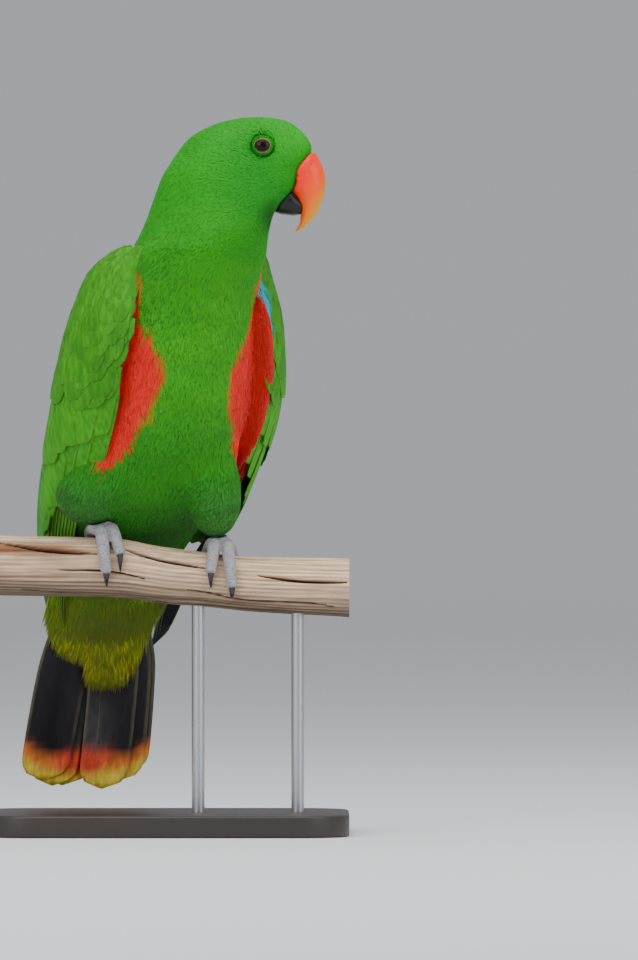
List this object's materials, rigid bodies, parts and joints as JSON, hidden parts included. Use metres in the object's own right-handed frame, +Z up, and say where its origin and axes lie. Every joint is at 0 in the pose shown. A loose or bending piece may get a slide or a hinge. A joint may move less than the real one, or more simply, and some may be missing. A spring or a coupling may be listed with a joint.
{
  "type": "eclectus parrot model",
  "caption": "Life-size still model of a green male eclectus parrot gripping a short branch, held over a flat base by steel rods.",
  "frame": {"origin": "centre of the underside of the stand's base plate", "axes": "+Z up, +X along the branch to the viewer's right, where the bill points, -Y towards the viewer, the side the breast faces"},
  "size_m": [0.2, 0.1535, 0.3896],
  "materials": {
    "green_feathers": "satin overlapping body feathers",
    "wing_feathers": "smooth satin flight feathers and coverts",
    "undertail_feathers": "soft olive yellow coverts",
    "tail_feathers": "dark vanes with an orange and yellow tip band",
    "bill_orange": "waxy horn, coral at the base and yellow at the tip",
    "bill_black": "satin black horn",
    "eye": "wet gloss, red brown iris round a black pupil",
    "foot_skin": "matte scaly grey skin",
    "claw_horn": "worn dark horn",
    "branch_wood": "weathered bare wood with long cracks",
    "stand_plate": "dark satin lacquer",
    "stand_steel": "brushed steel"
  },
  "bodies": {
    "root": {"torso": "green_feathers", "neck": "green_feathers", "head": "green_feathers", "thigh_right": "green_feathers", "thigh_left": "green_feathers", "uppertail_coverts": "green_feathers", "wing_right": "wing_feathers", "wing_left": "wing_feathers", "undertail_coverts": "undertail_feathers", "tail": "tail_feathers", "bill_upper": "bill_orange", "bill_lower": "bill_black", "eye_right": "eye", "eye_left": "eye", "foot_right": "foot_skin", "foot_left": "foot_skin", "claw_right_1": "claw_horn", "claw_right_2": "claw_horn", "claw_right_3": "claw_horn", "claw_right_4": "claw_horn", "claw_left_1": "claw_horn", "claw_left_2": "claw_horn", "claw_left_3": "claw_horn", "claw_left_4": "claw_horn", "perch": "branch_wood", "stand_base": "stand_plate", "stand_rod_1": "stand_steel", "stand_rod_2": "stand_steel"}
  },
  "joints": []
}
